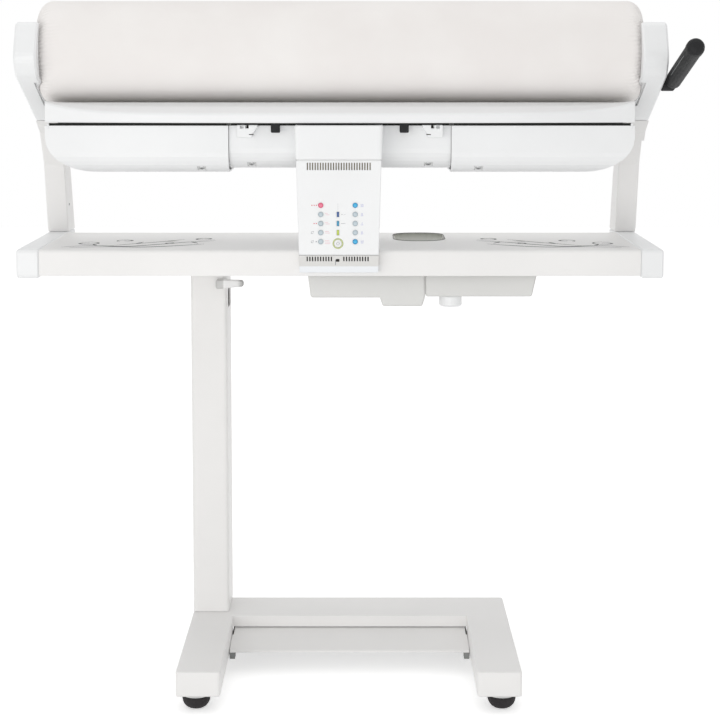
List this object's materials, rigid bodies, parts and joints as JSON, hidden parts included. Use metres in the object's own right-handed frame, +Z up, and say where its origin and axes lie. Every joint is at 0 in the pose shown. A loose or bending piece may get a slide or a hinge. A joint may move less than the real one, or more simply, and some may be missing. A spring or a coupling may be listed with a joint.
{
  "type": "rotary flatwork ironer",
  "caption": "Steam flatwork ironer: padded roller over a heated shoe with hand lever, finger guard and key panel, on a shelf head that folds on a one-column stand with a pedal.",
  "frame": {"origin": "middle of the bounding box on the floor", "axes": "+X along the roller towards the hand lever, +Y away from the user, +Z up"},
  "size_m": [0.9198, 0.4482, 0.96],
  "materials": {
    "white_enamel": "satin white powder coat",
    "white_casing": "semi-gloss white moulding",
    "grey_casing": "pale grey moulding",
    "roller_cloth": "off-white padded cotton",
    "aluminium": "ground",
    "steel": "zinc plated",
    "bronze": "sintered bush",
    "black_plastic": "black moulding",
    "black_rubber": "moulded rubber",
    "key_grey": "translucent key, unlit",
    "key_red": "translucent key, lit",
    "key_blue": "translucent key, lit",
    "lamp_blue": "clear light guide"
  },
  "bodies": {
    "stand": {"base_frame": "white_enamel", "foot_front_left": "black_rubber", "foot_front_right": "black_rubber", "foot_rear_left": "black_rubber", "foot_rear_right": "black_rubber", "column": "white_enamel", "top_beam": "white_enamel", "fold_pivot_pin": "steel", "pedal_rod": "steel"},
    "head": {"shelf": "white_enamel", "shelf_end_cap_left": "white_casing", "shelf_end_cap_right": "white_casing", "fold_bracket": "steel", "filler_bowl": "grey_casing", "steam_generator_housing": "grey_casing", "water_tank": "grey_casing", "post_left": "white_enamel", "post_right": "white_enamel", "arm_cover_left": "white_casing", "arm_cover_right": "white_casing", "idle_axle": "steel", "drive_motor": "steel", "panel_fascia": "white_casing", "panel_housing": "white_casing", "indicator_lamps": "lamp_blue"},
    "roller": {"roller_drum": "aluminium", "roller_cloth": "roller_cloth", "drum_end_disc_left": "aluminium", "drum_end_disc_right": "aluminium", "drum_bush_left": "bronze", "drum_bush_right": "bronze"},
    "shoe": {"shoe_plate": "aluminium", "heater_casting": "aluminium", "shoe_cover_left": "white_casing", "shoe_cover_middle": "white_casing", "shoe_cover_right": "white_casing", "shoe_carrier_left": "steel", "shoe_carrier_right": "steel", "panel_cowl": "white_casing", "guard_clip_left": "white_casing", "guard_clip_right": "white_casing"},
    "guard": {"finger_guard": "white_casing", "switch_tab_left": "black_plastic", "switch_tab_right": "black_plastic"},
    "pedal": {"pedal_plate": "white_enamel"},
    "latch": {"fold_latch": "white_casing"},
    "drain": {"drain_cap": "white_casing"},
    "hand_lever": {"hand_lever_arm": "black_plastic", "hand_lever_grip": "black_plastic"},
    "power": {"power_button": "white_casing"},
    "key_l1": {"key_left_1": "key_red"},
    "key_l2": {"key_left_2": "key_grey"},
    "key_l3": {"key_left_3": "key_grey"},
    "key_l4": {"key_left_4": "key_grey"},
    "key_l5": {"key_left_5": "key_grey"},
    "key_r1": {"key_right_1": "key_blue"},
    "key_r2": {"key_right_2": "key_grey"},
    "key_r3": {"key_right_3": "key_grey"},
    "key_r4": {"key_right_4": "key_grey"},
    "key_r5": {"key_right_5": "key_blue"}
  },
  "joints": [
    {"name": "head_fold", "type": "hinge", "parent": "stand", "child": "head", "pos_m": [-0.05535, 0.10308, 0.585], "axis": [0, 1, 0], "range_deg": [0, 90]},
    {"name": "roller_spin", "type": "hinge", "parent": "head", "child": "roller", "pos_m": [-0.01535, -0.00392, 0.887], "axis": [1, 0, 0], "continuous": true},
    {"name": "shoe_press", "type": "slide", "parent": "head", "child": "shoe", "axis": [0, 0, 1], "range_m": [0, 0.0145]},
    {"name": "lever_turn", "type": "hinge", "parent": "head", "child": "hand_lever", "pos_m": [0.44765, -0.03392, 0.845], "axis": [1, 0, 0], "range_deg": [0, 50]},
    {"name": "guard_tilt", "type": "hinge", "parent": "shoe", "child": "guard", "pos_m": [-0.01535, -0.06092, 0.815], "axis": [1, 0, 0], "range_deg": [0, 2], "stiffness_Nm_per_rad": 20, "springref_deg": -2.86},
    {"name": "pedal_press", "type": "hinge", "parent": "stand", "child": "pedal", "pos_m": [-0.00285, 0.03608, 0.033], "axis": [1, 0, 0], "range_deg": [0, 6], "stiffness_Nm_per_rad": 30, "springref_deg": -2.86},
    {"name": "latch_turn", "type": "hinge", "parent": "stand", "child": "latch", "pos_m": [-0.18735, 0.05308, 0.552], "axis": [0, 1, 0], "range_deg": [0, 20], "stiffness_Nm_per_rad": 0.5, "springref_deg": -5.73},
    {"name": "drain_unscrew", "type": "slide", "parent": "head", "child": "drain", "axis": [0, 0, -1], "range_m": [0, 0.02]},
    {"name": "power_press", "type": "slide", "parent": "head", "child": "power", "axis": [0, 1, 0], "range_m": [0, 0.0012], "stiffness_N_per_m": 400},
    {"name": "key_l1_press", "type": "slide", "parent": "head", "child": "key_l1", "axis": [0, 1, 0], "range_m": [0, 0.0008], "stiffness_N_per_m": 300},
    {"name": "key_l2_press", "type": "slide", "parent": "head", "child": "key_l2", "axis": [0, 1, 0], "range_m": [0, 0.0008], "stiffness_N_per_m": 300},
    {"name": "key_l3_press", "type": "slide", "parent": "head", "child": "key_l3", "axis": [0, 1, 0], "range_m": [0, 0.0008], "stiffness_N_per_m": 300},
    {"name": "key_l4_press", "type": "slide", "parent": "head", "child": "key_l4", "axis": [0, 1, 0], "range_m": [0, 0.0008], "stiffness_N_per_m": 300},
    {"name": "key_l5_press", "type": "slide", "parent": "head", "child": "key_l5", "axis": [0, 1, 0], "range_m": [0, 0.0008], "stiffness_N_per_m": 300},
    {"name": "key_r1_press", "type": "slide", "parent": "head", "child": "key_r1", "axis": [0, 1, 0], "range_m": [0, 0.0008], "stiffness_N_per_m": 300},
    {"name": "key_r2_press", "type": "slide", "parent": "head", "child": "key_r2", "axis": [0, 1, 0], "range_m": [0, 0.0008], "stiffness_N_per_m": 300},
    {"name": "key_r3_press", "type": "slide", "parent": "head", "child": "key_r3", "axis": [0, 1, 0], "range_m": [0, 0.0008], "stiffness_N_per_m": 300},
    {"name": "key_r4_press", "type": "slide", "parent": "head", "child": "key_r4", "axis": [0, 1, 0], "range_m": [0, 0.0008], "stiffness_N_per_m": 300},
    {"name": "key_r5_press", "type": "slide", "parent": "head", "child": "key_r5", "axis": [0, 1, 0], "range_m": [0, 0.0008], "stiffness_N_per_m": 300}
  ],
  "couplings": [
    {"joint": "lever_turn", "follows": "shoe_press", "rad_per_m": 60.18}
  ]
}
